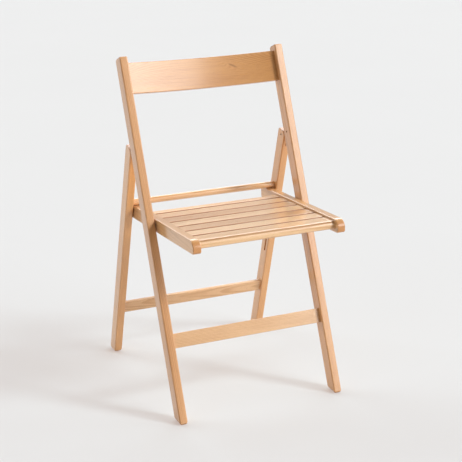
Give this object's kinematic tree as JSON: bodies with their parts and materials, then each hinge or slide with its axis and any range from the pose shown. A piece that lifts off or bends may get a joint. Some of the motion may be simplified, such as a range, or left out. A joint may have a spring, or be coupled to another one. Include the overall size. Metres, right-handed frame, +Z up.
{
  "type": "folding chair",
  "caption": "Wooden folding chair: slatted seat, curved backrest board, and rear legs that swing forward under the back as the seat tips up.",
  "frame": {"origin": "on the floor, at the centre of the overall bounding box", "axes": "+Z up; the sitter faces -Y; X across the chair, with left at -X as seen from in front"},
  "size_m": [0.425, 0.4965, 0.79],
  "materials": {
    "post_wood": "clear satin lacquer",
    "leg_wood": "clear satin lacquer",
    "board_wood": "clear satin lacquer",
    "stretcher_wood": "clear satin lacquer",
    "rail_wood": "clear satin lacquer",
    "slat_wood": "clear satin lacquer",
    "rod_wood": "clear satin lacquer",
    "plate_steel": "rolled",
    "pin_steel": "dull, oiled",
    "washer_nylon": "natural"
  },
  "bodies": {
    "front_frame": {"left_post": "post_wood", "right_post": "post_wood", "backrest_board": "board_wood", "front_stretcher": "stretcher_wood", "left_hinge_plate": "plate_steel", "right_hinge_plate": "plate_steel", "left_post_hinge_pin": "pin_steel", "right_post_hinge_pin": "pin_steel", "left_seat_pivot_pin": "pin_steel", "right_seat_pivot_pin": "pin_steel", "left_pivot_washer": "washer_nylon", "right_pivot_washer": "washer_nylon"},
    "rear_frame": {"left_rear_leg": "leg_wood", "right_rear_leg": "leg_wood", "rear_stretcher": "stretcher_wood", "seat_stop_rod": "rod_wood", "left_leg_hinge_pin": "pin_steel", "right_leg_hinge_pin": "pin_steel"},
    "seat": {"left_seat_rail": "rail_wood", "right_seat_rail": "rail_wood", "left_guide_stud": "pin_steel", "right_guide_stud": "pin_steel", "rear_seat_slat": "slat_wood", "seat_slat_1": "slat_wood", "seat_slat_2": "slat_wood", "seat_slat_3": "slat_wood", "seat_slat_4": "slat_wood", "seat_slat_5": "slat_wood", "front_seat_slat": "slat_wood"}
  },
  "joints": [
    {"name": "rear_frame_fold", "type": "hinge", "parent": "front_frame", "child": "rear_frame", "pos_m": [0, 0.09058, 0.5718], "axis": [-1, 0, 0], "range_deg": [0, 38.42]},
    {"name": "seat_fold", "type": "hinge", "parent": "front_frame", "child": "seat", "pos_m": [0, -0.01631, 0.42], "axis": [-1, 0, 0], "range_deg": [0, 98.7]}
  ],
  "couplings": [
    {"joint": "seat_fold", "follows": "rear_frame_fold", "ratio": 2.5675}
  ]
}
